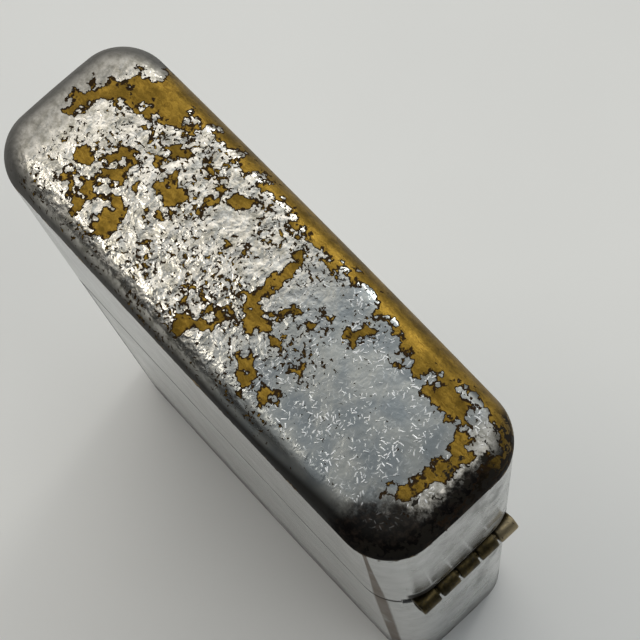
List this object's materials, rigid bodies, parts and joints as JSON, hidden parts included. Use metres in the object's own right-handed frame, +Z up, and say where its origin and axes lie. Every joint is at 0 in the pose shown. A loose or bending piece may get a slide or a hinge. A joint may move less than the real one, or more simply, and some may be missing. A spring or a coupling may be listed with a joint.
{
  "type": "flip-top windproof lighter",
  "caption": "Flip-top windproof petrol lighter in worn plated brass, with a hinged lid and a steel insert that holds wick, flint and striker wheel.",
  "frame": {"origin": "centre of the flat base that the closed lighter stands on", "axes": "+Z up towards the lid, +X towards the hinge end, +Y across the thickness"},
  "size_m": [0.039, 0.0126, 0.0565],
  "materials": {
    "worn_plate": "nickel plate worn through to brown brass in islands, pitted",
    "aged_brass": "tarnished, rubbed bright on the high spots",
    "insert_steel": "brushed, heat-stained near the flame",
    "file_steel": "cut teeth, dark hardened steel",
    "rivet_steel": "dull, turned",
    "spring_steel": "blued grey",
    "tube_brass": "drawn, dull",
    "flint_alloy": "matt, scored",
    "wick_cotton": "braided cord, charred at the top",
    "cotton": "pressed fibre",
    "felt": "felt"
  },
  "bodies": {
    "case": {"bottom_case": "worn_plate", "case_hinge_leaf": "aged_brass", "hinge_pin": "aged_brass"},
    "lid": {"lid": "worn_plate", "lid_hinge_leaf": "aged_brass"},
    "insert": {"insert_can": "insert_steel", "windguard": "insert_steel", "wheel_rivet": "rivet_steel", "cam_rivet": "rivet_steel", "cam_spring": "spring_steel", "cam_spring_rivet": "rivet_steel", "flint_tube": "tube_brass", "flint_screw": "tube_brass", "flint_spring": "spring_steel", "wick": "wick_cotton", "felt_pad": "felt", "cotton_ball_1": "cotton", "cotton_ball_2": "cotton", "cotton_ball_3": "cotton", "cotton_ball_4": "cotton", "cotton_ball_5": "cotton"},
    "wheel": {"striker_wheel": "file_steel"},
    "cam": {"cam_lever": "insert_steel"},
    "flint": {"flint": "flint_alloy", "spring_tip": "tube_brass"}
  },
  "joints": [
    {"name": "lid_hinge", "type": "hinge", "parent": "case", "child": "lid", "pos_m": [0.0191, 0, 0.035], "axis": [0, 1, 0], "range_deg": [0, 125]},
    {"name": "insert_lift", "type": "slide", "parent": "case", "child": "insert", "axis": [0, 0, 1], "range_m": [0, 0.002]},
    {"name": "cam_pivot", "type": "hinge", "parent": "insert", "child": "cam", "pos_m": [0.0104, 0, 0.04], "axis": [0, 1, 0], "range_deg": [0, 28]},
    {"name": "wheel_spin", "type": "hinge", "parent": "insert", "child": "wheel", "pos_m": [-0.0086, 0, 0.0424], "axis": [0, 1, 0], "continuous": true},
    {"name": "flint_slide", "type": "slide", "parent": "insert", "child": "flint", "axis": [0, 0, 1], "range_m": [-0.0015, 0], "stiffness_N_per_m": 300, "springref_m": 0.004, "deforming": ["flint_spring"]}
  ],
  "couplings": [
    {"joint": "cam_pivot", "follows": "lid_hinge", "ratio": 0.224}
  ]
}
